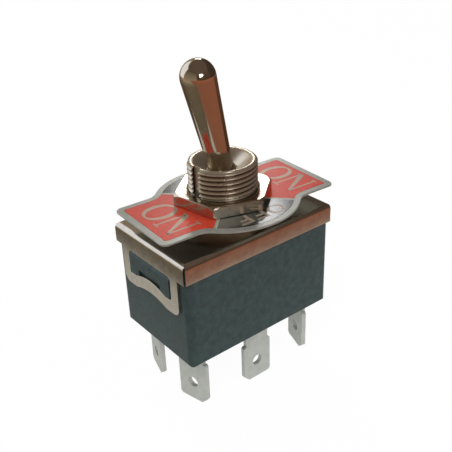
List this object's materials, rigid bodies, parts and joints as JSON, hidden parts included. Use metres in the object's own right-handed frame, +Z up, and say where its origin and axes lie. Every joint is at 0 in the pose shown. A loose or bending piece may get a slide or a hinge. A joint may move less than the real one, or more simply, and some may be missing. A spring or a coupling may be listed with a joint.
{
  "type": "panel toggle switch",
  "caption": "Panel toggle switch with a bat-shaped metal lever, threaded bush with hex nuts, a red and black on-off label plate, a moulded case and push-on tabs.",
  "frame": {"origin": "on the bush axis, in the sheet cover's top face", "axes": "+Z up the bush, +X along the case's length, +Y across the case; the lever swings in the XZ plane and rests tilted towards -X"},
  "size_m": [0.0346, 0.0244, 0.0569],
  "materials": {
    "phenolic": "moulded phenolic, fine mottled satin",
    "cover_plate": "warm nickel plate, semi-bright",
    "fibre": "vulcanised fibre sheet",
    "bush_plate": "brass under bright nickel plate",
    "nut_plate": "brass under nickel plate",
    "washer_plate": "zinc plated steel",
    "label_metal": "bare satin aluminium",
    "red_enamel": "satin enamel",
    "black_enamel": "satin enamel",
    "lever_plate": "brass under bright nickel plate",
    "pin_steel": "ground steel",
    "nylon": "natural nylon",
    "spring_steel": "drawn wire",
    "rocker_brass": "formed strip",
    "contact_silver": "silver",
    "tab_plate": "brass under matt tin plate"
  },
  "bodies": {
    "case": {"housing": "phenolic", "cover": "cover_plate", "insulator": "fibre", "bushing": "bush_plate", "back_nut": "nut_plate", "lock_washer": "washer_plate", "label_plate": "label_metal", "red_enamel": "red_enamel", "black_enamel": "black_enamel", "front_nut": "nut_plate", "common_tab_front": "tab_plate", "common_tab_back": "tab_plate", "throw_tab_front_left": "tab_plate", "throw_tab_front_right": "tab_plate", "throw_tab_back_left": "tab_plate", "throw_tab_back_right": "tab_plate", "fixed_contacts": "contact_silver"},
    "lever": {"lever": "lever_plate", "pivot_pin": "pin_steel", "carrier": "nylon", "spring_front": "spring_steel", "spring_back": "spring_steel"},
    "plunger_front": {"plunger_front": "nylon"},
    "plunger_back": {"plunger_back": "nylon"},
    "rocker_front": {"rocker_front": "rocker_brass", "rocker_contacts_front": "contact_silver"},
    "rocker_back": {"rocker_back": "rocker_brass", "rocker_contacts_back": "contact_silver"}
  },
  "joints": [
    {"name": "lever_tilt", "type": "hinge", "parent": "case", "child": "lever", "pos_m": [0, 0, 0.007], "axis": [0, 1, 0], "range_deg": [0, 26]},
    {"name": "rocker_front_tilt", "type": "hinge", "parent": "case", "child": "rocker_front", "pos_m": [0, -0.00445, -0.0126], "axis": [0, 1, 0], "range_deg": [-16, 0]},
    {"name": "rocker_back_tilt", "type": "hinge", "parent": "case", "child": "rocker_back", "pos_m": [0, 0.00445, -0.0126], "axis": [0, 1, 0], "range_deg": [-16, 0]},
    {"name": "plunger_front_slide", "type": "slide", "parent": "lever", "child": "plunger_front", "axis": [-0.225, 0, 0.9744], "range_m": [0, 0.0008], "stiffness_N_per_m": 900, "springref_m": -0.0016, "deforming": ["spring_front"]},
    {"name": "plunger_back_slide", "type": "slide", "parent": "lever", "child": "plunger_back", "axis": [-0.225, 0, 0.9744], "range_m": [0, 0.0008], "stiffness_N_per_m": 900, "springref_m": -0.0016, "deforming": ["spring_back"]}
  ],
  "couplings": [
    {"joint": "rocker_front_tilt", "follows": "lever_tilt", "ratio": -0.61538},
    {"joint": "rocker_back_tilt", "follows": "lever_tilt", "ratio": -0.61538}
  ]
}
